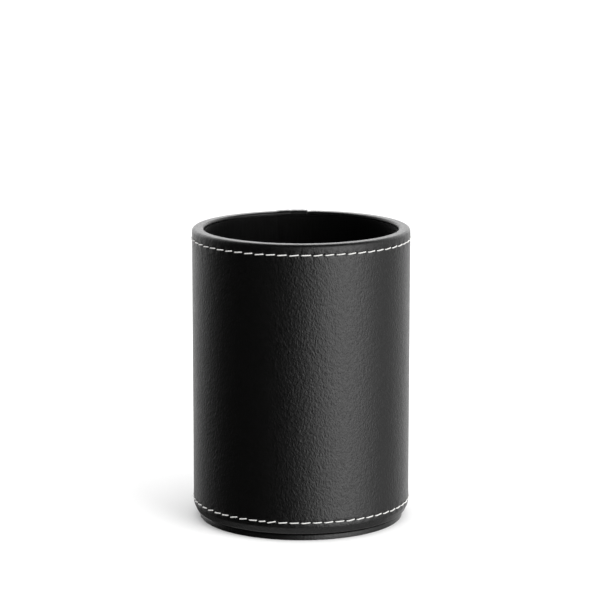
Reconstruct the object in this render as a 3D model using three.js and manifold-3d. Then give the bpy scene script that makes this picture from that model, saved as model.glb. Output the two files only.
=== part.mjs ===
// A pen holder cup. A greyboard tube with a board let into its bottom is wrapped in one sheet of
// black imitation leather, which is turned in over the rim and turned under at the bottom.
// The sheet's ends lap at the back, where two rows of stitches hold them, and a ring of stitches
// runs below the rim and above the base. A thin lining covers the inside and the floor,
// and a covered card closes the underside.
// The cup stands on z = 0 with its axis on Z. Its front looks along -Y and its back seam is at +Y.
import * as THREE from 'three';
import { mergeVertices } from 'three/addons/utils/BufferGeometryUtils.js';
import Module from 'manifold-3d';

// Driving dimensions, in millimetres. Angles are in degrees, from +Y towards +X.
const OUTER_RADIUS = 40.5;
const HEIGHT = 109.6;
const GLUE_GAP = 0.1;

// The leather: full on the outside, pared thin where it is turned in and turned under.
const LEATHER = 0.8;
const TURN_IN = { thickness: 0.3, radius: 36.55, bottom: 94.5 };
const TURN_UNDER = { thickness: 0.45, bottom: 2.6, reach: 29 };
const RIM_CORNER = 0.5;
const FOOT_CORNER = 1.5;
const INNER_CORNER = 0.4;
const WRAP_LAP = { from: -10.9, to: 3.6, thin: 0.65, climb: 3.6 };

// The lining: under the turned-in leather at the top, it sits closer to the axis.
const LINING = 0.4;
const LINING_RADIUS = { low: 36.55, high: 35.95 };
const LINING_HEIGHTS = { bottom: 5.25, stepFrom: 90.5, stepTo: 93.7, top: 108.2 };
const LINING_LAP = { from: -27, to: -14.8, thin: 0.6, climb: 3.6 };

// Both lapped sheets: the gap between their ends, and how fast the lower end thins.
const LAP_GAP = 0.06;
const LAP_CLEAR = 0.4;
const LAP_RAMP = 2.3;
const LAP_FACETS = 3;
const SHEET_FACETS = 53;
const CORNER_STEPS = 3;
const ROUND_FACETS = 56;

// Boards and cards.
const TUBE = { inner: 36.65, outer: 39.15, bottom: 3.15, top: 108.55 };
const TUBE_CHAMFER = { across: 1.25, up: 0.95 };
const BASE_BOARD = { radius: 36.55, thickness: 2 };
const FLOOR_CARD = { radius: 35.15, thickness: 1 };
const FLOOR_COVER = { radius: 35.65, thickness: 0.4, edge: 0.25 };
const BASE_COVER = { radius: 38.1, height: 2.3, thickness: 0.35, reach: 31, edge: 0.5, foot: 0.22 };

// Sewing: the needle thread shows outside, and the bobbin thread lies behind the leather.
const NEEDLE_THREAD_RADIUS = 0.27;
const BOBBIN_THREAD_RADIUS = 0.15;
const THREAD_SIDES = 4;
const THREAD_CLEAR = 0.03;
const CHORD_CLEAR = 0.08;
const STITCH_END = 0.45;
const HOLE = { length: 1.1, width: 0.66, from: -0.2, depth: 1.8 };
const RING_DIP = 39.92;
const RING_BOBBIN = 39.44;
const UPPER_ROW = { z: 105.75, stitches: 59, backShift: 0.8 };
const LOWER_ROW = { z: 7.15, stitches: 60, backShift: -2.15 };
const FRONT_HOLE = 180.6;

// The two seam rows stand side by side on the lap. Their bobbin threads lie in grooves.
const SEAM_TURNS = { left: -6.1, right: 2.3 };
const SEAM_ROW = { first: 4.6, pitch: 4.283, stitches: 24, dip: 40.24, bobbin: 39.77 };
const SEAM_GROOVE = { from: 39.5, to: 39.95, width: 0.4, overrun: 0.8 };
const SEAM_END = { degrees: 150, lift: 0.45 };

const LEATHER_FACE = OUTER_RADIUS - LEATHER;
const RIM_FACE = HEIGHT - LEATHER;
const FLOOR_BOTTOM = TUBE.bottom + BASE_BOARD.thickness + GLUE_GAP;
const FLOOR_TOP = FLOOR_BOTTOM + FLOOR_CARD.thickness + GLUE_GAP + FLOOR_COVER.thickness;

const wasm = await Module();
wasm.setup();

const MATERIALS = {
  leather: new THREE.MeshStandardMaterial({ color: 0x1a1a1b, roughness: 0.42, metalness: 0 }),
  lining: new THREE.MeshStandardMaterial({ color: 0x141414, roughness: 0.7, metalness: 0 }),
  board: new THREE.MeshStandardMaterial({ color: 0x8c857a, roughness: 0.9, metalness: 0 }),
  thread: new THREE.MeshStandardMaterial({ color: 0xf1efea, roughness: 0.6, metalness: 0 }),
};

const lerp = THREE.MathUtils.lerp;
const clamp = THREE.MathUtils.clamp;
const degreesOn = (length, radius) => THREE.MathUtils.radToDeg(length / radius);

// The point at a radius, a turn from +Y towards +X, and a height.
function around(radius, degrees, z) {
  const turn = THREE.MathUtils.degToRad(degrees);
  return new THREE.Vector3(radius * Math.sin(turn), radius * Math.cos(turn), z);
}

// The signed volume of a closed geometry: negative when its faces point in.
function volumeOf(geometry) {
  const points = geometry.getAttribute('position');
  const corners = geometry.getIndex();
  const a = new THREE.Vector3();
  const b = new THREE.Vector3();
  const c = new THREE.Vector3();
  let volume = 0;
  for (let i = 0; i < corners.count; i += 3) {
    a.fromBufferAttribute(points, corners.getX(i));
    b.fromBufferAttribute(points, corners.getX(i + 1));
    c.fromBufferAttribute(points, corners.getX(i + 2));
    volume += a.dot(b.cross(c)) / 6;
  }
  return volume;
}

// One closed skin of shared vertices with its faces pointing out.
function closed(geometry) {
  geometry.deleteAttribute('normal');
  geometry.deleteAttribute('uv');
  const skin = mergeVertices(geometry);
  if (volumeOf(skin) < 0) {
    const corners = skin.getIndex();
    for (let i = 0; i < corners.count; i += 3) {
      const first = corners.getX(i);
      corners.setX(i, corners.getX(i + 1));
      corners.setX(i + 1, first);
    }
  }
  return skin;
}

// Moves every vertex of a geometry to the point that `place` gives for it.
function moved(geometry, place) {
  const points = geometry.getAttribute('position');
  for (let i = 0; i < points.count; i += 1) {
    const to = place(points.getX(i), points.getY(i), points.getZ(i));
    points.setXYZ(i, to.x, to.y, to.z);
  }
  return closed(geometry);
}

function solidOf(geometry) {
  const vertProperties = new Float32Array(geometry.getAttribute('position').array);
  const triVerts = new Uint32Array(geometry.getIndex().array);
  return new wasm.Manifold(new wasm.Mesh({ numProp: 3, vertProperties, triVerts }));
}

function geometryOf(solid) {
  const skin = solid.getMesh();
  const geometry = new THREE.BufferGeometry();
  geometry.setAttribute('position', new THREE.BufferAttribute(skin.vertProperties, 3));
  geometry.setIndex(new THREE.BufferAttribute(skin.triVerts, 1));
  return geometry;
}

// A turned shape from its outline of [radius, height] points.
function turned(outline) {
  const points = outline.map(([radius, z]) => new THREE.Vector2(radius, z));
  const geometry = new THREE.LatheGeometry(points, ROUND_FACETS);
  return closed(geometry.rotateX(Math.PI / 2));
}

// A flat disc whose underside is at the height z.
function disc(radius, thickness, z) {
  const geometry = new THREE.CylinderGeometry(radius, radius, thickness, ROUND_FACETS);
  geometry.rotateX(Math.PI / 2);
  return closed(geometry.translate(0, 0, z + thickness / 2));
}

// A station across a sheet: a point of its glued face, the way its good face looks
// (0 is away from the axis, 90 is up) and its thickness there.
function station(r, z, degrees, thickness) {
  const turn = THREE.MathUtils.degToRad(degrees);
  return { r, z, outR: Math.cos(turn), outZ: Math.sin(turn), thickness };
}

// Stations round a corner whose centre is (r, z).
function corner(r, z, radius, degrees, thickness) {
  return Array.from({ length: CORNER_STEPS + 1 }, (unused, step) => {
    const part = step / CORNER_STEPS;
    const at = station(r, z, lerp(...degrees, part), lerp(...thickness, part));
    at.r += radius * at.outR;
    at.z += radius * at.outZ;
    return at;
  });
}

// The leather's stations, from its edge under the base, up the outside, over the rim and in.
function wrapStations() {
  const underFace = TURN_UNDER.bottom + TURN_UNDER.thickness;
  const inside = TURN_IN.radius + INNER_CORNER;
  const under = [TURN_UNDER.thickness, LEATHER];
  const over = [LEATHER, LEATHER];
  const turnIn = [LEATHER, TURN_IN.thickness];
  return [
    station(TURN_UNDER.reach, underFace, -90, TURN_UNDER.thickness),
    ...corner(LEATHER_FACE - FOOT_CORNER, underFace + FOOT_CORNER, FOOT_CORNER, [-90, 0], under),
    ...corner(LEATHER_FACE - RIM_CORNER, RIM_FACE - RIM_CORNER, RIM_CORNER, [0, 90], over),
    ...corner(inside, RIM_FACE - INNER_CORNER, INNER_CORNER, [90, 180], turnIn),
    station(TURN_IN.radius, TURN_IN.bottom, 180, TURN_IN.thickness),
  ];
}

function liningStations() {
  return [
    station(LINING_RADIUS.low, LINING_HEIGHTS.bottom, 180, LINING),
    station(LINING_RADIUS.low, LINING_HEIGHTS.stepFrom, 180, LINING),
    station(LINING_RADIUS.high, LINING_HEIGHTS.stepTo, 180, LINING),
    station(LINING_RADIUS.high, LINING_HEIGHTS.top, 180, LINING),
  ];
}

// How far a sheet's two faces stand off what it is glued to, as shares of its thickness and a lift.
// Its first end is thinned. Its last end is thinned too and climbs over the first.
function lapFaces(turn, lap) {
  const full = clamp((turn - lap.to - LAP_CLEAR) / LAP_RAMP, 0, 1);
  const climb = clamp((turn - 360 - lap.from + LAP_CLEAR) / lap.climb + 1, 0, 1);
  const good = lerp(lap.thin, 1, full) + climb * (2 * lap.thin - 1);
  return { glued: climb * lap.thin, good, lift: climb * LAP_GAP };
}

// The turns at which a sheet is bent, from its first end to its last, a little over once round.
function bendTurns(lap) {
  const stops = [
    [lap.from, lap.to + LAP_CLEAR, LAP_FACETS],
    [lap.to + LAP_CLEAR, lap.to + LAP_CLEAR + LAP_RAMP, 1],
    [lap.to + LAP_CLEAR + LAP_RAMP, 360 + lap.from - LAP_CLEAR - lap.climb, SHEET_FACETS],
    [360 + lap.from - LAP_CLEAR - lap.climb, 360 + lap.from - LAP_CLEAR, 1],
    [360 + lap.from - LAP_CLEAR, 360 + lap.to, LAP_FACETS],
  ];
  const turns = [lap.from];
  for (const [from, to, facets] of stops) {
    for (let facet = 1; facet <= facets; facet += 1) {
      turns.push(lerp(from, to, facet / facets));
    }
  }
  return turns;
}

// A flat sheet bent round the axis: across it lie its stations, and along it its turns.
function bentSheet(stations, lap) {
  const turns = bendTurns(lap);
  const across = stations.length - 1;
  const along = turns.length - 1;
  const sheet = new THREE.BoxGeometry(across, 1, along, across, 1, along);
  return moved(sheet, (x, y, z) => {
    const at = stations[Math.round(x + across / 2)];
    const turn = turns[Math.round(z + along / 2)];
    const faces = lapFaces(turn, lap);
    const height = (y > 0 ? faces.good : faces.glued) * at.thickness + faces.lift;
    return around(at.r + height * at.outR, turn, at.z + height * at.outZ);
  });
}

// How far the leather's outermost face stands off the board at a turn, for a given thickness.
function wrapHeight(degrees, thickness) {
  const turn = WRAP_LAP.to + THREE.MathUtils.euclideanModulo(degrees - WRAP_LAP.to - 0.001, 360);
  const faces = lapFaces(turn, WRAP_LAP);
  return faces.good * thickness + faces.lift;
}

// The turn of each needle hole of a ring row. The pitch drifts a little towards the back,
// so that the row crosses the two seam rows clear of its own holes.
function ringTurns(row) {
  return Array.from({ length: row.stitches }, (unused, stitch) => {
    const turn = FRONT_HOLE + (stitch * 360) / row.stitches;
    return turn + (row.backShift * (1 + Math.cos(THREE.MathUtils.degToRad(turn)))) / 2;
  });
}

// True when a stitch of a ring row passes over one of the seam rows.
function crossesSeam(from, to) {
  return Object.values(SEAM_TURNS).some((turn) => from < turn + 360 && turn + 360 < to);
}

// The places along a ring row's needle thread: down in each hole and up at both ends of each stitch.
function ringPlaces(row) {
  const holes = ringTurns(row);
  const end = degreesOn(STITCH_END, OUTER_RADIUS);
  const places = [];
  holes.forEach((from, stitch) => {
    const to = stitch + 1 < holes.length ? holes[stitch + 1] : holes[0] + 360;
    const height = Math.max(wrapHeight(from + end, LEATHER), wrapHeight(to - end, LEATHER));
    const over = crossesSeam(from, to) ? 2 * NEEDLE_THREAD_RADIUS + THREAD_CLEAR : 0;
    const top = LEATHER_FACE + height + NEEDLE_THREAD_RADIUS + CHORD_CLEAR + over;
    places.push({ turn: from, radius: RING_DIP });
    places.push({ turn: from + end, radius: top });
    places.push({ turn: to - end, radius: top });
  });
  return places;
}

function ringNeedleThread(row) {
  const places = ringPlaces(row);
  const count = places.length;
  const ring = new THREE.TorusGeometry(1, NEEDLE_THREAD_RADIUS, THREAD_SIDES, count);
  return moved(ring, (x, y, z) => {
    const share = Math.atan2(y, x) / (2 * Math.PI);
    const place = places[THREE.MathUtils.euclideanModulo(Math.round(share * count), count)];
    return around(place.radius + Math.hypot(x, y) - 1, place.turn, row.z + z);
  });
}

function ringBobbinThread(row) {
  const ring = new THREE.TorusGeometry(RING_BOBBIN, BOBBIN_THREAD_RADIUS, THREAD_SIDES, ROUND_FACETS);
  return closed(ring.translate(0, 0, row.z));
}

// A seam row's needle thread: stitches up the outside and a last one over the rim.
function seamPlaces(turn) {
  const lift = NEEDLE_THREAD_RADIUS + THREAD_CLEAR;
  const top = LEATHER_FACE + wrapHeight(turn, LEATHER) + lift;
  const places = [];
  for (let hole = 0; hole <= SEAM_ROW.stitches; hole += 1) {
    const z = SEAM_ROW.first + hole * SEAM_ROW.pitch;
    places.push(station(top, z - STITCH_END, 0, 0));
    places.push(station(SEAM_ROW.dip, z, 0, 0));
    places.push(station(top, z + STITCH_END, 0, 0));
  }
  const rim = wrapStations().filter((at) => at.z > RIM_FACE - RIM_CORNER && at.r > seamEnd().r);
  for (const at of rim) {
    const height = wrapHeight(turn, at.thickness) + lift;
    places.push({ ...at, r: at.r + height * at.outR, z: at.z + height * at.outZ });
  }
  const end = seamEnd();
  places.push({ ...end, r: end.r + SEAM_END.lift * end.outR, z: end.z + SEAM_END.lift * end.outZ });
  return places.slice(1);
}

// The place inside the rim where a seam row's last stitch goes into the leather.
function seamEnd() {
  const end = station(TURN_IN.radius + INNER_CORNER, RIM_FACE - INNER_CORNER, SEAM_END.degrees, 0);
  end.r += INNER_CORNER * end.outR;
  end.z += INNER_CORNER * end.outZ;
  return end;
}

function seamNeedleThread(turn) {
  const places = seamPlaces(turn);
  const steps = places.length - 1;
  const rod = new THREE.CylinderGeometry(1, 1, steps, THREAD_SIDES, steps);
  return moved(rod, (x, y, z) => {
    const at = places[Math.round(y + steps / 2)];
    const out = x * NEEDLE_THREAD_RADIUS;
    const point = around(at.r + out * at.outR, turn, at.z + out * at.outZ);
    return point.add(around(z * NEEDLE_THREAD_RADIUS, turn + 90, 0));
  });
}

function seamBobbinThread(turn) {
  const length = SEAM_ROW.stitches * SEAM_ROW.pitch;
  const rod = new THREE.CylinderGeometry(BOBBIN_THREAD_RADIUS, BOBBIN_THREAD_RADIUS, length, THREAD_SIDES);
  rod.rotateX(Math.PI / 2);
  rod.rotateZ(-THREE.MathUtils.degToRad(turn));
  return closed(rod.translate(...around(SEAM_ROW.bobbin, turn, SEAM_ROW.first + length / 2)));
}

// The solid that cuts one needle hole at a station. `along` is the way the stitch runs.
function holeCutter(at, turn, along) {
  const out = around(at.outR, turn, at.outZ);
  const middle = around(at.r, turn, at.z).addScaledVector(out, HOLE.from + HOLE.depth / 2);
  const across = new THREE.Vector3().crossVectors(along, out);
  const cutter = new THREE.BoxGeometry(HOLE.length, HOLE.depth, HOLE.width);
  cutter.applyMatrix4(new THREE.Matrix4().makeBasis(along, out, across).setPosition(middle));
  return solidOf(closed(cutter));
}

function grooveCutter(turn) {
  const length = SEAM_ROW.stitches * SEAM_ROW.pitch + 2 * SEAM_GROOVE.overrun;
  const depth = SEAM_GROOVE.to - SEAM_GROOVE.from;
  const groove = new THREE.BoxGeometry(SEAM_GROOVE.width, depth, length);
  groove.rotateZ(-THREE.MathUtils.degToRad(turn));
  const middle = SEAM_ROW.first - SEAM_GROOVE.overrun + length / 2;
  groove.translate(...around((SEAM_GROOVE.from + SEAM_GROOVE.to) / 2, turn, middle));
  return solidOf(closed(groove));
}

function sewingCutters() {
  const cutters = [];
  for (const row of [UPPER_ROW, LOWER_ROW]) {
    for (const turn of ringTurns(row)) {
      cutters.push(holeCutter(station(LEATHER_FACE, row.z, 0, 0), turn, around(1, turn + 90, 0)));
    }
  }
  for (const turn of Object.values(SEAM_TURNS)) {
    cutters.push(grooveCutter(turn));
    for (let hole = 0; hole <= SEAM_ROW.stitches; hole += 1) {
      const at = station(LEATHER_FACE, SEAM_ROW.first + hole * SEAM_ROW.pitch, 0, 0);
      cutters.push(holeCutter(at, turn, new THREE.Vector3(0, 0, 1)));
    }
    const end = seamEnd();
    cutters.push(holeCutter(end, turn, around(-end.outZ, turn, end.outR)));
  }
  return cutters;
}

function outerWrap() {
  let leather = solidOf(bentSheet(wrapStations(), WRAP_LAP));
  for (const cutter of sewingCutters()) {
    leather = leather.subtract(cutter);
  }
  return geometryOf(leather);
}

// The board tube. Its lower outer edge is cut back, so that the leather can turn under it softly.
function tubeCore() {
  return turned([
    [TUBE.inner, TUBE.bottom],
    [TUBE.outer - TUBE_CHAMFER.across, TUBE.bottom],
    [TUBE.outer, TUBE.bottom + TUBE_CHAMFER.up],
    [TUBE.outer, TUBE.top],
    [TUBE.inner, TUBE.top],
    [TUBE.inner, TUBE.bottom],
  ]);
}

// The lining over the floor card, turned down its edge.
function floorCover() {
  const inside = FLOOR_COVER.radius - FLOOR_COVER.thickness;
  return turned([
    [0, FLOOR_TOP],
    [FLOOR_COVER.radius - FLOOR_COVER.edge, FLOOR_TOP],
    [FLOOR_COVER.radius, FLOOR_TOP - FLOOR_COVER.edge],
    [FLOOR_COVER.radius, FLOOR_BOTTOM],
    [inside, FLOOR_BOTTOM],
    [inside, FLOOR_TOP - FLOOR_COVER.thickness],
    [0, FLOOR_TOP - FLOOR_COVER.thickness],
  ]);
}

// The leather under the base, turned up round the base card and in over its top.
function baseCover() {
  const { radius, height, thickness, reach, edge, foot } = BASE_COVER;
  const inside = radius - thickness;
  const bevel = edge / 3;
  return turned([
    [0, 0],
    [radius - foot, 0],
    [radius, foot],
    [radius, height - edge],
    [radius - bevel, height - bevel],
    [radius - edge, height],
    [reach, height],
    [reach, height - thickness],
    [inside, height - thickness],
    [inside, thickness],
    [0, thickness],
  ]);
}

function baseCard() {
  const radius = BASE_COVER.radius - BASE_COVER.thickness - GLUE_GAP;
  const thickness = BASE_COVER.height - 2 * (BASE_COVER.thickness + GLUE_GAP);
  return disc(radius, thickness, BASE_COVER.thickness + GLUE_GAP);
}

const cup = new THREE.Group();

function add(name, geometry, material) {
  const mesh = new THREE.Mesh(geometry, material);
  mesh.name = name;
  cup.add(mesh);
  return mesh;
}

add('tube_core', tubeCore(), MATERIALS.board);
add('base_board', disc(BASE_BOARD.radius, BASE_BOARD.thickness, TUBE.bottom), MATERIALS.board);
add('outer_wrap', outerWrap(), MATERIALS.leather);
add('lining_sleeve', bentSheet(liningStations(), LINING_LAP), MATERIALS.lining);
add('floor_card', disc(FLOOR_CARD.radius, FLOOR_CARD.thickness, FLOOR_BOTTOM), MATERIALS.board);
add('floor_cover', floorCover(), MATERIALS.lining);
add('base_card', baseCard(), MATERIALS.board);
add('base_cover', baseCover(), MATERIALS.leather);

for (const [name, row] of [['upper', UPPER_ROW], ['lower', LOWER_ROW]]) {
  add(`${name}_needle_thread`, ringNeedleThread(row), MATERIALS.thread);
  add(`${name}_bobbin_thread`, ringBobbinThread(row), MATERIALS.thread);
}

for (const [side, turn] of Object.entries(SEAM_TURNS)) {
  add(`seam_needle_thread_${side}`, seamNeedleThread(turn), MATERIALS.thread);
  add(`seam_bobbin_thread_${side}`, seamBobbinThread(turn), MATERIALS.thread);
}

export default cup;
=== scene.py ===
"""A round pen cup wrapped in black imitation leather with white contrast stitching.

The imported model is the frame. Each visible piece is remade here as a fine mesh in the place of its
plain solid: the leather is a flat sheet that is bent round the tube and dented by its sewing, and
each row of stitches is one twisted thread. Lengths are in millimetres until a mesh is made,
and turns are in degrees from the back (+Y) towards +X.
"""
import math

import bmesh
import bpy
import numpy as np
from mathutils import Euler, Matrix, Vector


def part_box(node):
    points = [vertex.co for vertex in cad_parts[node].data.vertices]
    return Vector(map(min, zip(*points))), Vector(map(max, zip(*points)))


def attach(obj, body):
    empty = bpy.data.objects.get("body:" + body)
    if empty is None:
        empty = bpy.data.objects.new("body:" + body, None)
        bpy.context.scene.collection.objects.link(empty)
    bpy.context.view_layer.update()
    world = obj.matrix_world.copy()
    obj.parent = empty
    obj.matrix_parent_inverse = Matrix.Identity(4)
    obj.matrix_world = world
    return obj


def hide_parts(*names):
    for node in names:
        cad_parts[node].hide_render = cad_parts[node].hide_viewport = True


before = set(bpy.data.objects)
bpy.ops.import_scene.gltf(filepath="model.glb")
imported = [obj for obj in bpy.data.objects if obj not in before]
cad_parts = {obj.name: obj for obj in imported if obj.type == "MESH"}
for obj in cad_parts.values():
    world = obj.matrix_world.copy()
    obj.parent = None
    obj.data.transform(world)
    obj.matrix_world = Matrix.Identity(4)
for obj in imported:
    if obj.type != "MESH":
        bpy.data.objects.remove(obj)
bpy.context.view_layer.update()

MM = 0.001


def box_mm(node):
    """A node's lowest and highest corners in millimetres."""
    low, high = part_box(node)
    return np.array(low) / MM, np.array(high) / MM


wrap_low, wrap_high = box_mm("outer_wrap")
tube_low, tube_high = box_mm("tube_core")
lining_low, lining_high = box_mm("lining_sleeve")
floor_low, floor_high = box_mm("floor_cover")
base_low, base_high = box_mm("base_cover")

# The leather: full outside, pared where it is turned in and turned under.
OUTER_RADIUS = wrap_high[0]
LEATHER = 0.8
TURN_IN = 0.3
TURN_UNDER = 0.45
TURN_UNDER_REACH = 29
LEATHER_FACE = OUTER_RADIUS - LEATHER
CREST = tube_high[2] + 0.25 + LEATHER
UNDER_FACE = tube_low[2] - 0.1
TURN_IN_RADIUS = tube_high[0] - 2.6
TURN_IN_BOTTOM = CREST - 15.1
FOOT_CORNER = 0.35
FOOT_CORNER_LOOK = -15
FOOT_TAPER = 1.0
FOOT_BEND = {"in": 0.12, "up": 2.3, "look": -7}
FOOT_TOP = 3.4
RIM_CORNER = 0.5
INNER_CORNER = 0.4
CORNER_STEPS = 10
WRAP_WAVES = 0.012

# The lining, how far in it has stepped at each height to pass the turned-in leather, and its edge.
LINING = 0.4
LINING_STEPS = {90.5: 0.0, 91.6: 0.15, 92.8: 0.45, 93.7: 0.6}
LINING_EDGE = {"height": 0.35, "thickness": 0.3}
LINING_WAVES = 0.02
FLOOR_EDGE = 0.35

# The base pad's leather, its rounded edges and how far in it reaches over the pad's top.
PAD_SKIN = 0.35
PAD_TOP_EDGE = 0.8
PAD_FOOT_EDGE = 0.25
PAD_REACH = 31.0
PAD_CLEAR = 0.05
DISC_WAVES = 0.01

# Laps: the under end runs from `start`, and the upper end stops at `stop`, climbing over `climb`.
WRAP_LAP = {"start": -10.9, "stop": 3.6, "thin": 0.65, "climb": 4.2, "gap": 0.06}
LINING_LAP = {"start": -27.0, "stop": -14.8, "thin": 0.6, "climb": 3.6, "gap": 0.06}
LAP_CLEAR = 0.4
LAP_RAMP = 2.3
CUT_EDGE = {"depth": 0.16, "width": 0.28}

# Rows of stitches.
UPPER_Z = sum(corner[2] for corner in box_mm("upper_needle_thread")) / 2
LOWER_Z = sum(corner[2] for corner in box_mm("lower_needle_thread")) / 2
UPPER_STITCHES = 59
LOWER_STITCHES = 60
UPPER_SHIFT = 0.8
LOWER_SHIFT = -2.15
FRONT_HOLE = 180.6
HOLE_SCATTER = 0.07
SHORT_STITCH = {"after": 200.0, "by": 1.6, "until": 256.0, "over": 25.0}
SEAM_TURNS = {"left": -6.1, "right": 2.3}
SEAM_FIRST_Z = 4.6
SEAM_PITCH = 4.283
SEAM_STITCHES = 24
SEAM_END_LOOK = 150.0

# Dents of the sewing: how deep, and how wide across the row and along it.
HOLE_DENT = {"depth": 0.24, "across": 0.34, "along": 0.40}
CHANNEL_DENT = {"depth": 0.07, "across": 0.50}
DRAWN_DENT = {"depth": 0.08, "across": 1.4, "along": 1.2}
SWELL = {"height": 0.05, "off": 1.4, "across": 0.9, "along": 1.3}
SEAM_DENT_WIDTH = 3.0
UNSEWN_END = 13.0
SIDE_LOOK = 25.0

rng = np.random.default_rng(11)


# ---------------------------------------------------------------- places round the cup

def around(radius, turn, z):
    """Points at a radius, a turn and a height, as an (n, 3) array."""
    angle = np.radians(turn)
    parts = np.broadcast_arrays(radius * np.sin(angle), radius * np.cos(angle), z)
    return np.stack(parts, axis=-1)


def smooth(value):
    """0 below 0, 1 above 1 and a smooth step between."""
    part = np.clip(value, 0.0, 1.0)
    return part * part * (3.0 - 2.0 * part)


def bell(distance, width):
    """1 at no distance, falling to about a third at the width."""
    return np.exp(-((distance / width) ** 2))


def wrapped(turn):
    """A turn brought to between -180 and 180."""
    return (turn + 180.0) % 360.0 - 180.0


class Section:
    """The line that a sheet follows across its width, as a function of the length along its good face."""

    def __init__(self, stations):
        table = np.array(stations, dtype=float)
        self.r, self.z, self.look, self.thickness = table.T
        turn = np.radians(self.look)
        good_r = self.r + self.thickness * np.cos(turn)
        good_z = self.z + self.thickness * np.sin(turn)
        self.s = np.concatenate([[0.0], np.cumsum(np.hypot(np.diff(good_r), np.diff(good_z)))])
        self.good_z = good_z

    def at(self, s):
        """The radius, height, look and thickness at a length. A look is 0 outwards and 90 upwards."""
        columns = (self.r, self.z, self.look, self.thickness)
        return [np.interp(s, self.s, column) for column in columns]

    def at_height(self, z, first, last):
        """The length at which the good face passes a height, on the stretch between two stations."""
        return float(np.interp(z, self.good_z[first:last], self.s[first:last]))


def corner(r, z, radius, looks, thicknesses):
    """Stations of the glued face round a corner whose centre is (r, z)."""
    rows = []
    for step in range(CORNER_STEPS + 1):
        part = step / CORNER_STEPS
        look = looks[0] + (looks[1] - looks[0]) * part
        angle = math.radians(look)
        thickness = thicknesses[0] + (thicknesses[1] - thicknesses[0]) * part
        rows.append((r + radius * math.cos(angle), z + radius * math.sin(angle), look, thickness))
    return rows


def wrap_section():
    """The outer leather's line, from its turned-under edge round to its turned-in edge."""
    foot = LEATHER_FACE - FOOT_TAPER - FOOT_CORNER, UNDER_FACE + FOOT_CORNER
    rim_face = CREST - LEATHER
    rim = LEATHER_FACE - RIM_CORNER, rim_face - RIM_CORNER
    inner = TURN_IN_RADIUS + INNER_CORNER, rim_face - INNER_CORNER
    return Section([
        (TURN_UNDER_REACH, UNDER_FACE, -90, TURN_UNDER),
        *corner(*foot, FOOT_CORNER, (-90, FOOT_CORNER_LOOK), (TURN_UNDER, LEATHER)),
        (LEATHER_FACE - FOOT_BEND["in"], UNDER_FACE + FOOT_BEND["up"], FOOT_BEND["look"], LEATHER),
        (LEATHER_FACE, UNDER_FACE + FOOT_TOP, 0, LEATHER),
        *corner(*rim, RIM_CORNER, (0, 90), (LEATHER, LEATHER)),
        *corner(*inner, INNER_CORNER, (90, 180), (LEATHER, TURN_IN)),
        (TURN_IN_RADIUS, TURN_IN_BOTTOM, 180, TURN_IN),
    ])


wrap = wrap_section()
# Which of its stations end its stretches. Each corner has CORNER_STEPS + 1 of them.
FOOT_CORNER_END = CORNER_STEPS + 1
LEG_START = FOOT_CORNER_END + 2
LEG_END = LEG_START + 1
RIM_END = LEG_END + CORNER_STEPS
INNER_START = RIM_END + 1
INNER_END = INNER_START + CORNER_STEPS


def outside_length(z):
    """The length along the wrap at which its outside passes a height."""
    return wrap.at_height(z, FOOT_CORNER_END, LEG_END + 1)


def lap_faces(turn, lap):
    """How far a sheet's glued and good faces stand off, as shares of its thickness, and its lift."""
    full = smooth((turn - lap["stop"] - LAP_CLEAR) / LAP_RAMP)
    climb = smooth((turn - 360.0 - lap["start"] + LAP_CLEAR) / lap["climb"] + 1.0)
    good = lap["thin"] + (1.0 - lap["thin"]) * full + climb * (2.0 * lap["thin"] - 1.0)
    return climb * lap["thin"], good, climb * lap["gap"]


def outermost(turn, lap):
    """The same turns, named so that a lap is read on its upper end."""
    return lap["stop"] + (turn - lap["stop"] - 0.001) % 360.0


# ---------------------------------------------------------------- stitches

def ring_holes(stitches, shift):
    """The turns of a ring row's needle holes, with a drift towards the back and a little unevenness."""
    turns = FRONT_HOLE + np.arange(stitches) * 360.0 / stitches
    turns = turns + shift * (1.0 + np.cos(np.radians(turns))) / 2.0
    return turns + rng.normal(0.0, HOLE_SCATTER, stitches)


upper_holes = ring_holes(UPPER_STITCHES, UPPER_SHIFT)
lower_holes = ring_holes(LOWER_STITCHES, LOWER_SHIFT)
# One stitch of the lower row came out short, and the ones after it make up for it.
past_short = smooth((lower_holes - SHORT_STITCH["after"]) / 2.0)
made_up = smooth((SHORT_STITCH["until"] - lower_holes) / SHORT_STITCH["over"])
lower_holes -= SHORT_STITCH["by"] * past_short * made_up
seam_holes = SEAM_FIRST_Z + np.arange(SEAM_STITCHES + 1) * SEAM_PITCH


def nearest(values, among):
    """The distance of each value to the nearest of the others."""
    return np.abs(values[:, None] - np.asarray(among)[None, :]).min(axis=1)


def nearest_turn(turns, among):
    """The distance round the outside of each turn to the nearest of the others."""
    gaps = np.abs(wrapped(turns[:, None] - among[None, :])).min(axis=1)
    return gaps * math.radians(OUTER_RADIUS)


def sewn_dent(off_row, off_hole):
    """How deep the leather is pulled in, from the distances across the row and to a needle hole."""
    hole = HOLE_DENT["depth"] * bell(off_row, HOLE_DENT["across"]) * bell(off_hole, HOLE_DENT["along"])
    channel = CHANNEL_DENT["depth"] * bell(off_row, CHANNEL_DENT["across"])
    drawn = DRAWN_DENT["depth"] * bell(off_row, DRAWN_DENT["across"]) * bell(off_hole, DRAWN_DENT["along"])
    beside = bell(np.abs(off_row) - SWELL["off"], SWELL["across"])
    swell = SWELL["height"] * beside * (1.0 - bell(off_hole, SWELL["along"]))
    return hole + channel + drawn - swell


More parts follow.
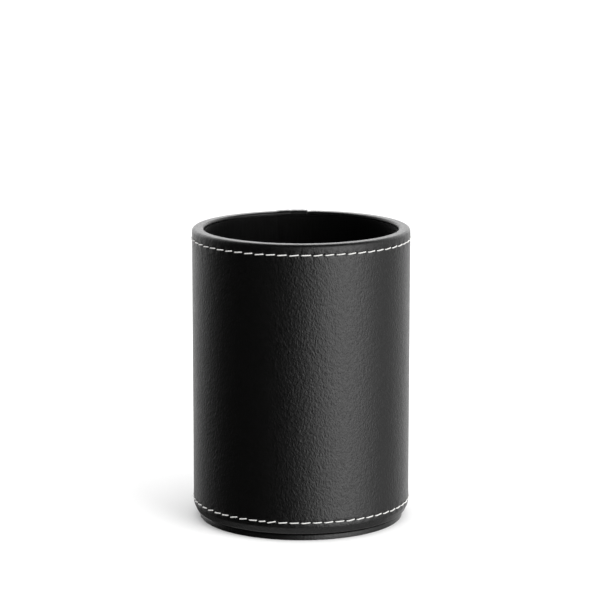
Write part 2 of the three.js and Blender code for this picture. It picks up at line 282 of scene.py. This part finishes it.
def wrap_dents(turn, s):
    """The depth of the sewing's dents over the whole good face of the leather."""
    z, look = wrap.at(s)[1:3]
    on_side = bell(look, SIDE_LOOK)
    dents = on_side * sewn_dent(z - UPPER_Z, nearest_turn(turn, upper_holes))
    dents += on_side * sewn_dent(z - LOWER_Z, nearest_turn(turn, lower_holes))
    seam_lengths = [outside_length(height) for height in seam_holes]
    off_hole = nearest(s, seam_lengths)
    sewn = smooth(s - seam_lengths[0] + 1.0) * smooth(wrap.s[-1] - UNSEWN_END - s)
    for seam_turn in SEAM_TURNS.values():
        off_row = wrapped(turn - seam_turn) * math.radians(OUTER_RADIUS)
        dents += sewn * bell(off_row, SEAM_DENT_WIDTH) * sewn_dent(off_row, off_hole)
    return dents


def unevenness(turn, z, strength):
    """A slow hand-made waviness of a surface."""
    angle = np.radians(turn)
    waves = np.sin(3 * angle + 0.7) + 0.7 * np.sin(5 * angle + z / 19.0 + 2.1)
    waves += 0.5 * np.sin(11 * angle - z / 13.0) + 0.4 * np.sin(z / 9.0 + 2 * angle)
    return strength * waves


# ---------------------------------------------------------------- mesh making

def add_object(name, mesh, material, slot, *nodes):
    """Puts a finished mesh in the scene as a piece that stands for the named nodes."""
    piece = bpy.data.objects.new(name, mesh)
    bpy.context.scene.collection.objects.link(piece)
    mesh.materials.append(material)
    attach(piece, "root")
    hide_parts(*nodes)


def mesh_from(name, vertices, faces, sharp=40.0):
    """A smooth-shaded closed mesh from vertices in millimetres."""
    mesh = bpy.data.meshes.new(name)
    mesh.from_pydata((np.asarray(vertices) * MM).tolist(), [], faces)
    finish_mesh(mesh, sharp)
    return mesh


def finish_mesh(mesh, sharp):
    """Turns all faces outwards, makes them smooth and keeps the edges over an angle sharp."""
    shape = bmesh.new()
    shape.from_mesh(mesh)
    bmesh.ops.recalc_face_normals(shape, faces=shape.faces)
    shape.to_mesh(mesh)
    shape.free()
    mesh.shade_smooth()
    mesh.set_sharp_from_angle(angle=math.radians(sharp))
    mesh.update()


def lines_between(stops, spacing):
    """Rising values from the first stop to the last, with every stop among them."""
    lines = [stops[0]]
    for start, end in zip(stops[:-1], stops[1:]):
        count = max(1, round((end - start) / spacing))
        lines += [start + (end - start) * step / count for step in range(1, count + 1)]
    return lines


def flat_sheet(turns, good_lines, glued_lines):
    """A closed flat sheet as a bmesh: x is the turn, y the length across and z 0 glued or 1 good.

    The glued lines are some of the good lines, so each long cell at an edge joins the two faces.
    """
    sheet = bmesh.new()
    good = [[sheet.verts.new((turn, s, 1.0)) for s in good_lines] for turn in turns]
    glued = [[sheet.verts.new((turn, s, 0.0)) for s in glued_lines] for turn in turns]
    for left, right in zip(good[:-1], good[1:]):
        for j in range(len(good_lines) - 1):
            sheet.faces.new((left[j], right[j], right[j + 1], left[j + 1]))
    for left, right in zip(glued[:-1], glued[1:]):
        for j in range(len(glued_lines) - 1):
            sheet.faces.new((left[j], left[j + 1], right[j + 1], right[j]))
    for j in (0, -1):
        for i in range(len(turns) - 1):
            sheet.faces.new((good[i][j], glued[i][j], glued[i + 1][j], good[i + 1][j]))
    place_of = {s: j for j, s in enumerate(good_lines)}
    for i in (0, -1):
        for j in range(len(glued_lines) - 1):
            first, last = place_of[glued_lines[j]], place_of[glued_lines[j + 1]]
            sheet.faces.new(good[i][first:last + 1] + [glued[i][j + 1], glued[i][j]])
    return sheet


def refine(sheet, near, cuts=3):
    """Divides the good face's cells for which near(turn, s) is true."""
    chosen = set()
    for face in sheet.faces:
        centre = face.calc_center_median()
        if centre.z > 0.9 and near(centre.x, centre.y):
            chosen.update(face.edges)
    bmesh.ops.subdivide_edges(sheet, edges=list(chosen), cuts=cuts, use_grid_fill=True)


def bent(name, sheet, place, sharp=40.0):
    """Moves a flat sheet's vertices to where place(turn, s, layer) puts them."""
    mesh = bpy.data.meshes.new(name)
    sheet.to_mesh(mesh)
    sheet.free()
    flat = np.empty(len(mesh.vertices) * 3)
    mesh.vertices.foreach_get("co", flat)
    turn, s, layer = flat.reshape(-1, 3).T
    mesh.vertices.foreach_set("co", (place(turn, s, layer) * MM).ravel())
    finish_mesh(mesh, sharp)
    return mesh


def sheet_place(section, lap, dents, waves):
    """The function that bends a sheet along its section and over its own lap."""

    def place(turn, s, layer):
        r, z, look, thickness = section.at(s)
        glued, good, lift = lap_faces(turn, lap)
        height = (glued + (good - glued) * layer) * thickness + lift
        height = height - layer * (dents(turn, s) - waves(turn, z))
        edge = np.minimum(turn - lap["start"], 360.0 + lap["stop"] - turn) * math.radians(OUTER_RADIUS)
        height = height - layer * CUT_EDGE["depth"] * bell(edge, CUT_EDGE["width"])
        angle = np.radians(look)
        return around(r + height * np.cos(angle), turn, z + height * np.sin(angle))

    return place


def lap_turns(lap, spacing):
    """The turns of a sheet's lines, from its under end round to its upper end."""
    return lines_between([lap["start"], lap["stop"] + LAP_CLEAR, 360.0 + lap["stop"]], spacing)


# ---------------------------------------------------------------- leather wrap

WRAP_TURN_STEP = 1.44
WRAP_STOPS = (0, 1, LEG_START, LEG_END, RIM_END, INNER_END, -1)
WRAP_SPACINGS = (2.5, 0.22, 1.0, 0.22, 0.22, 1.6)
FOOT_GLUED = (1, 4, 7, FOOT_CORNER_END)
RIM_GLUED = (LEG_START, LEG_END, LEG_END + 5, RIM_END)
INNER_GLUED = (INNER_START, INNER_START + 5, INNER_END)
FINE_BY_RING = 1.6
FINE_BY_SEAM = 1.6
RING_LENGTHS = [outside_length(z) for z in (UPPER_Z, LOWER_Z)]


def wrap_lines():
    """The lengths of the lines along the leather: many on its good face, fewer on its glued face."""
    stops = [float(wrap.s[station]) for station in WRAP_STOPS]
    good_lines = stops[:1]
    for start, end, spacing in zip(stops[:-1], stops[1:], WRAP_SPACINGS):
        good_lines += lines_between([start, end], spacing)[1:]
    glued_lines = good_lines[:1]
    for station in FOOT_GLUED + RIM_GLUED + INNER_GLUED:
        glued_lines.append(min(good_lines, key=lambda line: abs(line - wrap.s[station])))
    return good_lines, glued_lines + good_lines[-1:]


def near_sewing(turn, s):
    """True where the good face needs a finer mesh for its dents."""
    off_ring = min(abs(s - length) for length in RING_LENGTHS)
    off_seam = min(abs(wrapped(turn - seam_turn)) for seam_turn in SEAM_TURNS.values())
    on_seam = off_seam < FINE_BY_SEAM and wrap.s[LEG_START] < s < wrap.s[INNER_END]
    return off_ring < FINE_BY_RING or on_seam


def make_outer_wrap(material):
    """The leather round the outside, turned in over the rim and turned under at the bottom."""
    sheet = flat_sheet(lap_turns(WRAP_LAP, WRAP_TURN_STEP), *wrap_lines())
    refine(sheet, near_sewing)
    place = sheet_place(wrap, WRAP_LAP, wrap_dents, lambda turn, z: unevenness(turn, z, WRAP_WAVES))
    mesh = bent("outer_wrap_leather", sheet, place)
    add_object("outer_wrap_leather", mesh, material, "black_leather", "outer_wrap")


# ---------------------------------------------------------------- lining, floor and base pad

LINING_SPACING = 1.5


def lining_section():
    """The lining's line, from the floor up over the turned-in leather to its top edge."""
    low = lining_high[0]
    stations = [(low, lining_low[2], 180, LINING)]
    stations += [(low - step, z, 180, LINING) for z, step in LINING_STEPS.items()]
    top = low - max(LINING_STEPS.values())
    stations.append((top, lining_high[2] - LINING_EDGE["height"], 180, LINING))
    stations.append((top, lining_high[2], 180, LINING_EDGE["thickness"]))
    return Section(stations)


def make_lining(material):
    """The lining sleeve, stepping in over the turned-in leather, with its own lap."""
    section = lining_section()
    good_lines = [0.0]
    for start, end in zip(section.s[:-1], section.s[1:]):
        good_lines += lines_between([float(start), float(end)], LINING_SPACING)[1:]
    glued_lines = [good_lines[0], *[float(s) for s in section.s[1:-1]], good_lines[-1]]
    sheet = flat_sheet(lap_turns(LINING_LAP, LINING_SPACING), good_lines, glued_lines)
    place = sheet_place(
        section, LINING_LAP,
        lambda turn, s: np.zeros_like(s),
        lambda turn, z: unevenness(turn, z, LINING_WAVES) - LINING_WAVES,
    )
    mesh = bent("lining_sleeve_sheet", sheet, place)
    add_object("lining_sleeve_sheet", mesh, material, "black_lining", "lining_sleeve")


def turned_mesh(name, outline, steps=360):
    """A turned closed mesh, a little wavy, from an outline that starts and ends on the axis."""
    turns = np.arange(steps) * 360.0 / steps
    vertices = [(0.0, 0.0, outline[0][1])]
    for radius, z in outline[1:-1]:
        wavy = radius + unevenness(turns, z, DISC_WAVES) * min(1.0, radius / 30.0)
        vertices += around(wavy, turns, z).tolist()
    vertices.append((0.0, 0.0, outline[-1][1]))
    return mesh_from(name, vertices, turned_faces(len(outline) - 2, steps))


def turned_faces(rings, steps):
    """The faces of a turned mesh: a fan at each end, and four-sided faces between its rings."""
    faces = []
    last = 1 + (rings - 1) * steps
    for i in range(steps):
        after = (i + 1) % steps
        faces.append((0, 1 + i, 1 + after))
        for ring in range(rings - 1):
            near, far = 1 + ring * steps, 1 + (ring + 1) * steps
            faces.append((near + i, far + i, far + after, near + after))
        faces.append((last + i, last + steps, last + after))
    return faces


def arc(r, z, radius, start, end, steps=6):
    """Outline points round a corner, from one angle to another."""
    angles = [math.radians(start + (end - start) * step / steps) for step in range(steps + 1)]
    return [(r + radius * math.cos(angle), z + radius * math.sin(angle)) for angle in angles]


def rings_to(radius, z, step=3.0):
    """Outline points from near the axis out to a radius at one height."""
    count = int(radius / step)
    return [(radius * (i + 1) / (count + 1), z) for i in range(count)]


def make_floor_cover(material):
    """The lining over the floor card, turned down its edge."""
    radius, top, foot = floor_high[0], floor_high[2], floor_low[2]
    inside = radius - LINING
    outline = [(0.0, top), *rings_to(radius - 2 * FLOOR_EDGE, top)]
    outline += arc(radius - FLOOR_EDGE, top - FLOOR_EDGE, FLOOR_EDGE, 90, 0)
    outline += [(radius, foot), (inside, foot), (inside, top - LINING), (0.0, top - LINING)]
    mesh = turned_mesh("floor_cover_sheet", outline)
    add_object("floor_cover_sheet", mesh, material, "black_lining", "floor_cover")


def make_base_cover(material):
    """The leather of the base pad, turned up round its card and in over the top."""
    radius = (base_high[0] - base_low[0]) / 2
    top = base_high[2] - PAD_CLEAR
    edge_r, edge_z = radius - PAD_TOP_EDGE, top - PAD_TOP_EDGE
    outline = [(0.0, 0.0), *rings_to(radius - 4 * PAD_FOOT_EDGE, 0.0)]
    outline += arc(radius - PAD_FOOT_EDGE, PAD_FOOT_EDGE, PAD_FOOT_EDGE, -90, 0)
    outline += arc(edge_r, edge_z, PAD_TOP_EDGE, 0, 90)
    outline += [(PAD_REACH, top), (PAD_REACH, top - PAD_SKIN)]
    outline += arc(edge_r, edge_z, PAD_TOP_EDGE - PAD_SKIN, 90, 0)
    outline += [(radius - PAD_SKIN, PAD_SKIN), (0.0, PAD_SKIN)]
    mesh = turned_mesh("base_cover_leather", outline)
    add_object("base_cover_leather", mesh, material, "black_leather", "base_cover")


# ---------------------------------------------------------------- threads

THREAD_RADIUS = 0.245
THREAD_SIDES = 15
THREAD_SHARP = 80.0
PLIES = 3
PLY_GROOVE = 0.22
TWIST_LENGTH = 1.9
STITCH_STEPS = 30
STITCH_DIP = 0.95
STITCH_TOP = 0.12
STITCH_DIVE = 0.5
STITCH_SLANT = 0.42
STITCH_SCATTER = {"top": 0.02, "slant": 0.35, "sideways": 0.03}
OVER_SEAM_ROWS = {"height": 0.42, "width": 0.75}
# The last stitch of a seam row is pressed into the rim, and less so where it looks past `look`.
RIM_PRESS = {"on_top": 0.42, "eased": 0.30, "look": 95.0, "over": 30.0}


def stitch_run(holes, closed):
    """Places along a row: the position along it, and the thread's height and sideways shift there."""
    along, height, sideways = [], [], []
    for k, start in enumerate(holes):
        if k + 1 == len(holes) and not closed:
            break
        end = holes[k + 1] if k + 1 < len(holes) else holes[0] + 360.0
        part = np.arange(STITCH_STEPS) / STITCH_STEPS
        side = np.abs(2.0 * part - 1.0)
        top = STITCH_TOP + rng.normal(0.0, STITCH_SCATTER["top"])
        slant = STITCH_SLANT * (1.0 + rng.normal(0.0, STITCH_SCATTER["slant"]))
        shift = rng.normal(0.0, STITCH_SCATTER["sideways"])
        along.append(start + (end - start) * part)
        height.append(top - (STITCH_DIP + top) * smooth((side - STITCH_DIVE) / (1.0 - STITCH_DIVE)))
        sideways.append(-slant * (part - 0.5) * (1.0 - side ** 10) + shift)
    return np.concatenate(along), np.concatenate(height), np.concatenate(sideways)


def along_line(centres, closed):
    """Directions along a line of points, the lengths up to each point and the whole length."""
    if closed:
        ahead = np.roll(centres, -1, axis=0)
        directions = ahead - np.roll(centres, 1, axis=0)
        steps = np.linalg.norm(ahead - centres, axis=1)
    else:
        directions = np.gradient(centres, axis=0)
        steps = np.linalg.norm(np.diff(centres, axis=0, append=centres[-1:]), axis=1)
    directions /= np.linalg.norm(directions, axis=1)[:, None]
    travelled = np.concatenate([[0.0], np.cumsum(steps)])
    return directions, travelled[:-1], travelled[-1]


def thread_faces(count, closed):
    """The faces of a thread with a number of rings, joined in a loop or with two ends."""
    faces = []
    for i in range(count if closed else count - 1):
        here, there = i * THREAD_SIDES, (i + 1) % count * THREAD_SIDES
        for j in range(THREAD_SIDES):
            beside = (j + 1) % THREAD_SIDES
            faces.append((here + j, here + beside, there + beside, there + j))
    if not closed:
        faces.append(tuple(range(THREAD_SIDES)))
        faces.append(tuple(range((count - 1) * THREAD_SIDES, count * THREAD_SIDES)))
    return faces


def thread_mesh(name, centres, ups, closed):
    """A three-ply twisted thread along the centres, with a direction that is up at each."""
    directions, travelled, length = along_line(centres, closed)
    sides = np.cross(directions, ups)
    sides /= np.linalg.norm(sides, axis=1)[:, None]
    ups = np.cross(sides, directions)
    twists = travelled / TWIST_LENGTH
    if closed:
        twists = twists * round(length / TWIST_LENGTH) / (length / TWIST_LENGTH)
    angle = np.arange(THREAD_SIDES) * 2.0 * math.pi / THREAD_SIDES
    ply = angle[None, :] - twists[:, None] * 2.0 * math.pi
    radius = THREAD_RADIUS * (1.0 - PLY_GROOVE + PLY_GROOVE * np.abs(np.cos(PLIES / 2 * ply)))
    across = (radius * np.cos(angle))[:, :, None] * sides[:, None, :]
    upward = (radius * np.sin(angle))[:, :, None] * ups[:, None, :]
    vertices = (centres[:, None, :] + across + upward).reshape(-1, 3)
    return mesh_from(name, vertices, thread_faces(len(centres), closed), THREAD_SHARP)


def make_ring_thread(name, holes, row_z, node, material):
    """A ring of stitches. Where it crosses the seam rows, it rides over their threads."""
    turn, height, sideways = stitch_run(holes, closed=True)
    faces = lap_faces(outermost(turn, WRAP_LAP), WRAP_LAP)
    surface = LEATHER_FACE + faces[1] * LEATHER + faces[2]
    for seam_turn in SEAM_TURNS.values():
        off_seam = wrapped(turn - seam_turn) * math.radians(OUTER_RADIUS)
        height = height + OVER_SEAM_ROWS["height"] * bell(off_seam, OVER_SEAM_ROWS["width"])
    centres = around(surface + height, turn, row_z + sideways)
    mesh = thread_mesh(name, centres, around(1.0, turn, 0.0), closed=True)
    add_object(name, mesh, material, "white_thread", node)


def make_seam_thread(name, turn, node, material):
    """A seam row: stitches up the outside and a last one over the rim."""
    holes = [outside_length(z) for z in seam_holes]
    holes.append(float(np.interp(SEAM_END_LOOK, wrap.look[INNER_START:], wrap.s[INNER_START:])))
    s, height, sideways = stitch_run(np.array(holes), closed=False)
    r, z, look, thickness = wrap.at(s)
    shares = lap_faces(outermost(np.full_like(s, turn), WRAP_LAP), WRAP_LAP)
    over_rim = np.arange(len(s)) >= len(s) - STITCH_STEPS
    eased = RIM_PRESS["eased"] * smooth((look - RIM_PRESS["look"]) / RIM_PRESS["over"])
    pressed_in = over_rim * (RIM_PRESS["on_top"] - eased)
    height = height + shares[1] * thickness + shares[2] - pressed_in
    angle = np.radians(look)
    sideways_turn = turn + np.degrees(sideways / OUTER_RADIUS)
    centres = around(r + height * np.cos(angle), sideways_turn, z + height * np.sin(angle))
    ups = around(np.cos(angle), turn, np.sin(angle))
    mesh = thread_mesh(name, centres, ups, closed=False)
    add_object(name, mesh, material, "white_thread", node)


# ---------------------------------------------------------------- materials

class Tree:
    """A small hand for building nodes in a tree."""

    def __init__(self, tree):
        self.tree = tree

    def node(self, kind, **settings):
        made = self.tree.nodes.new(kind)
        for key, value in settings.items():
            setattr(made, key, value)
        return made

    def link(self, source, target):
        self.tree.links.new(source, target)

    def map_range(self, value, numbers, **settings):
        """A value mapped from one range to another: from low, from high, to low, to high."""
        made = self.node("ShaderNodeMapRange", **settings)
        for key, number in zip(("From Min", "From Max", "To Min", "To Max"), numbers):
            made.inputs[key].default_value = number
        self.link(value, made.inputs["Value"])
        return made.outputs["Result"]


class Look(Tree):
    """The nodes of one material."""

    def __init__(self, name):
        self.material = bpy.data.materials.new(name)
        self.material.use_nodes = True
        super().__init__(self.material.node_tree)
        self.shader = self.tree.nodes["Principled BSDF"]
        self.place = self.tree.nodes.new("ShaderNodeTexCoord").outputs["Object"]

    def stretched(self, scale):
        """The place in millimetres, scaled along each axis."""
        mapping = self.node("ShaderNodeMapping")
        mapping.inputs["Scale"].default_value = [part / MM for part in scale]
        self.link(self.place, mapping.inputs["Vector"])
        return mapping.outputs["Vector"]

    def noise(self, vector, scale, detail=3.0, roughness=0.55, distortion=0.0):
        made = self.node("ShaderNodeTexNoise")
        made.inputs["Scale"].default_value = scale
        made.inputs["Detail"].default_value = detail
        made.inputs["Roughness"].default_value = roughness
        made.inputs["Distortion"].default_value = distortion
        self.link(vector, made.inputs["Vector"])
        return made.outputs["Fac"]

    def cells(self, vector, scale, feature="SMOOTH_F1"):
        made = self.node("ShaderNodeTexVoronoi", feature=feature)
        made.inputs["Scale"].default_value = scale
        self.link(vector, made.inputs["Vector"])
        return made.outputs["Distance"]

    def ranged(self, value, low, high, from_low=0.0, from_high=1.0):
        return self.map_range(value, (from_low, from_high, low, high))

    def mixed(self, factor, first, second):
        made = self.node("ShaderNodeMix", data_type="RGBA")
        made.inputs["A"].default_value = (*first, 1.0)
        made.inputs["B"].default_value = (*second, 1.0)
        self.link(factor, made.inputs["Factor"])
        return made.outputs["Result"]

    def bump(self, height, strength, distance, below=None):
        made = self.node("ShaderNodeBump")
        made.inputs["Strength"].default_value = strength
        made.inputs["Distance"].default_value = distance * MM
        self.link(height, made.inputs["Height"])
        if below is not None:
            self.link(below, made.inputs["Normal"])
        return made.outputs["Normal"]

    def finish(self, colour, roughness, normal, **fixed):
        self.link(colour, self.shader.inputs["Base Color"])
        self.link(roughness, self.shader.inputs["Roughness"])
        self.link(normal, self.shader.inputs["Normal"])
        for key, value in fixed.items():
            self.shader.inputs[key.replace("_", " ")].default_value = value
        return self.material


LEATHER_COLOURS = (0.0010, 0.0010, 0.0010), (0.0020, 0.0020, 0.0020)
LINING_COLOURS = (0.0005, 0.0005, 0.0005), (0.0011, 0.0011, 0.0012)
THREAD_COLOURS = (0.68, 0.675, 0.66), (0.80, 0.795, 0.78)
BOARD_COLOURS = (0.20, 0.185, 0.165), (0.33, 0.31, 0.28)
FLOOR_COLOURS = (0.83, 0.83, 0.83), (0.85, 0.85, 0.85)
# The part of a noise that its middle values fill.
MIDDLE = (0.3, 0.7)


def leather_material(name, rough, grain):
    """Black imitation leather: fine pebbled grain, drawn out a little upwards, and a soft gloss."""
    made = Look(name)
    vector = made.stretched((1.0, 1.0, 0.62))
    pebbles = made.cells(vector, 1.9)
    fine = made.noise(vector, 4.5, detail=4.0, roughness=0.6)
    patches = made.noise(vector, 1.1, detail=2.0)
    slow = made.noise(vector, 0.16, detail=2.0)
    normal = made.bump(slow, 0.25, 0.30)
    normal = made.bump(patches, 0.6 * grain, 0.20, normal)
    normal = made.bump(pebbles, 0.8 * grain, 0.12, normal)
    normal = made.bump(fine, 0.8 * grain, 0.07, normal)
    colour = made.mixed(made.ranged(fine, 0.0, 1.0, *MIDDLE), *LEATHER_COLOURS)
    roughness = made.ranged(patches, rough - 0.04, rough + 0.04, 0.35, 0.65)
    return made.finish(colour, roughness, normal, IOR=1.5)


def lining_material():
    """The thin matt lining: a close nap with faint lines down it."""
    made = Look("black_lining")
    vector = made.stretched((1.0, 1.0, 1.0))
    drawn = made.stretched((1.6, 1.6, 0.12))
    nap = made.noise(vector, 5.0, detail=5.0, roughness=0.65)
    lines = made.noise(drawn, 1.2, detail=3.0)
    normal = made.bump(nap, 0.5, 0.06)
    normal = made.bump(lines, 0.3, 0.08, normal)
    colour = made.mixed(made.ranged(nap, 0.0, 1.0, *MIDDLE), *LINING_COLOURS)
    roughness = made.ranged(lines, 0.65, 0.8, *MIDDLE)
    return made.finish(colour, roughness, normal, Specular_IOR_Level=0.15)


def thread_material():
    """Bright white twisted thread with fine fibres."""
    made = Look("white_thread")
    vector = made.stretched((1.0, 1.0, 1.0))
    fibres = made.noise(vector, 9.0, detail=3.0, distortion=0.6)
    shade = made.noise(vector, 0.8, detail=2.0)
    normal = made.bump(fibres, 0.4, 0.05)
    colour = made.mixed(made.ranged(shade, 0.0, 1.0, *MIDDLE), *THREAD_COLOURS)
    roughness = made.ranged(fibres, 0.5, 0.7)
    return made.finish(colour, roughness, normal, Sheen_Weight=0.15)


def board_material():
    """Grey board: felted fibres with darker and lighter specks."""
    made = Look("greyboard")
    vector = made.stretched((1.0, 1.0, 1.0))
    fibres = made.noise(vector, 2.2, detail=6.0, roughness=0.7, distortion=1.2)
    specks = made.cells(vector, 1.3, feature="F1")
    normal = made.bump(fibres, 0.6, 0.08)
    colour = made.mixed(made.ranged(fibres, 0.0, 1.0, *MIDDLE), *BOARD_COLOURS)
    roughness = made.ranged(specks, 0.85, 0.95)
    return made.finish(colour, roughness, normal)


def repaint(node, material):
    """Gives a carried-over node a better material."""
    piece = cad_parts[node]
    if not piece.data.materials:
        piece.data.materials.append(material)
    for part in piece.material_slots:
        part.material = material


# ---------------------------------------------------------------- studio

def make_floor():
    """A white floor that only the camera sees, so that it doesn't light the cup or shine in it."""
    size = 6.0
    mesh = bpy.data.meshes.new("studio_floor")
    corners = [(-size, -size, 0.0), (size, -size, 0.0), (size, size, 0.0), (-size, size, 0.0)]
    mesh.from_pydata(corners, [], [(0, 1, 2, 3)])
    floor = bpy.data.objects.new("studio_floor", mesh)
    bpy.context.scene.collection.objects.link(floor)
    made = Look("studio_floor")
    tone = made.noise(made.stretched((1.0, 1.0, 1.0)), 0.004)
    colour = made.mixed(tone, *FLOOR_COLOURS)
    made.link(colour, made.shader.inputs["Base Color"])
    made.shader.inputs["Roughness"].default_value = 0.9
    made.shader.inputs["Specular IOR Level"].default_value = 0.0
    mesh.materials.append(made.material)
    floor.visible_glossy = False
    floor.visible_diffuse = False


class Sky(Tree):
    """The nodes of the world, as functions of a ray's direction."""

    def __init__(self, name):
        world = bpy.data.worlds.new(name)
        bpy.context.scene.world = world
        world.use_nodes = True
        world.cycles.sampling_method = "NONE"
        super().__init__(world.node_tree)
        self.tree.nodes.clear()
        self.direction = self.node("ShaderNodeTexCoord").outputs["Generated"]
        split = self.node("ShaderNodeSeparateXYZ")
        self.link(self.direction, split.inputs[0])
        self.up = split.outputs["Z"]

    def ranged(self, value, *numbers):
        return self.map_range(value, numbers, interpolation_type="SMOOTHSTEP")

    def sum_or_product(self, operation, first, second):
        made = self.node("ShaderNodeMath", operation=operation)
        self.link(first, made.inputs[0])
        self.link(second, made.inputs[1])
        return made.outputs[0]

    def times(self, first, second):
        return self.sum_or_product("MULTIPLY", first, second)

    def plus(self, first, second):
        return self.sum_or_product("ADD", first, second)

    def switched(self, factor, first, second):
        """The first value where the factor is 0, and the second, a socket or a number, where it is 1."""
        made = self.node("ShaderNodeMix", data_type="FLOAT")
        self.link(factor, made.inputs["Factor"])
        self.link(first, made.inputs["A"])
        if isinstance(second, float):
            made.inputs["B"].default_value = second
        else:
            self.link(second, made.inputs["B"])
        return made.outputs["Result"]

    def towards(self, azimuth):
        """The cosine between a ray and a level direction, 0 in front and positive to the right."""
        made = self.node("ShaderNodeVectorMath", operation="DOT_PRODUCT")
        self.link(self.direction, made.inputs[0])
        angle = math.radians(azimuth)
        made.inputs[1].default_value = (math.sin(angle), -math.cos(angle), 0.0)
        return made.outputs["Value"]


def gloss_light(sky):
    """What the gloss sees: a backdrop, dim low down on the left, and two soft boxes on the right."""
    behind = sky.ranged(sky.towards(180.0), 0.12, 1.08, 0.03, 1.9)
    behind = sky.times(behind, sky.ranged(sky.up, -0.1, 0.15, 1.0, 1.75))
    left_side = sky.ranged(sky.towards(270.0), -0.2, 0.2, 0.0, 1.0)
    shaded = sky.times(left_side, sky.ranged(sky.up, -0.285, -0.215, 1.0, 0.0))
    behind = sky.times(behind, sky.ranged(shaded, 0.0, 1.0, 1.0, 0.12))
    near_box = sky.ranged(sky.towards(44.0), 0.79, 1.0, 0.0, 4.4)
    round_box = sky.ranged(sky.towards(62.0), 0.35, 0.95, 0.0, 0.8)
    dim_above = sky.ranged(sky.up, 0.5, 0.95, 1.0, 0.05)
    dim_below = sky.ranged(sky.up, -0.6, -0.3, 0.6, 1.0)
    round_about = sky.plus(behind, sky.plus(near_box, round_box))
    below = sky.ranged(sky.up, -0.95, -0.6, 0.9, 0.0)
    return sky.plus(sky.times(round_about, sky.times(dim_above, dim_below)), below)


def make_world():
    """A white studio: an even white for the camera, a dome that is brightest overhead for matt
    light, and for gloss a backdrop that is bright behind the cup and dark in front of it."""
    sky = Sky("studio")
    rays = sky.node("ShaderNodeLightPath")
    overhead = sky.ranged(sky.up, 0.0, 0.9, 0.45, 2.15)
    light = sky.switched(rays.outputs["Is Diffuse Ray"], gloss_light(sky), overhead)
    light = sky.switched(rays.outputs["Is Camera Ray"], light, 1.0)
    background = sky.node("ShaderNodeBackground")
    sky.link(light, background.inputs["Strength"])
    output = sky.node("ShaderNodeOutputWorld")
    sky.link(background.outputs[0], output.inputs["Surface"])


def make_softbox():
    """An area light up on the right that looks at the cup, and that only matt light shows."""
    azimuth, elevation = math.radians(50.0), math.radians(30.0)
    distance = 1.2
    data = bpy.data.lights.new("softbox_right", "AREA")
    data.shape = "RECTANGLE"
    data.size = 0.9
    data.size_y = 1.0
    data.energy = 11.0
    light = bpy.data.objects.new("softbox_right", data)
    bpy.context.scene.collection.objects.link(light)
    centre = (wrap_low[2] + wrap_high[2]) / 2 * MM
    light.location = (
        distance * math.cos(elevation) * math.sin(azimuth),
        -distance * math.cos(elevation) * math.cos(azimuth),
        centre + distance * math.sin(elevation),
    )
    light.rotation_euler = Euler((math.pi / 2 - elevation, 0.0, azimuth))
    light.visible_glossy = False


def make_camera():
    """The camera in front of the cup, a little above it, looking down at it."""
    distance = 0.9964
    pitch = math.radians(10.86)
    aim = 81.95 * MM
    aside = -0.42 * MM
    data = bpy.data.cameras.new("camera")
    data.sensor_width = 36.0
    data.lens = 160.4
    camera = bpy.data.objects.new("camera", data)
    bpy.context.scene.collection.objects.link(camera)
    camera.location = (aside, -distance * math.cos(pitch), aim + distance * math.sin(pitch))
    camera.rotation_euler = Euler((math.pi / 2 - pitch, 0.0, 0.0))
    bpy.context.scene.camera = camera


# ---------------------------------------------------------------- the scene

make_camera()
make_floor()
make_world()
make_softbox()
bpy.context.scene.view_settings.view_transform = "Standard"

leather = leather_material("black_leather", rough=0.39, grain=1.0)
base_leather = leather_material("base_leather", rough=0.42, grain=0.8)
lining = lining_material()
thread = thread_material()
board = board_material()

make_outer_wrap(leather)
make_lining(lining)
make_floor_cover(lining)
make_base_cover(base_leather)
make_ring_thread("upper_stitching", upper_holes, UPPER_Z, "upper_needle_thread", thread)
make_ring_thread("lower_stitching", lower_holes, LOWER_Z, "lower_needle_thread", thread)
for side, seam_turn in SEAM_TURNS.items():
    make_seam_thread(f"seam_stitching_{side}", seam_turn, f"seam_needle_thread_{side}", thread)

for node in ("tube_core", "base_board", "floor_card", "base_card"):
    repaint(node, board)
for row in ("upper", "lower"):
    repaint(f"{row}_bobbin_thread", thread)
for side in SEAM_TURNS:
    repaint(f"seam_bobbin_thread_{side}", thread)
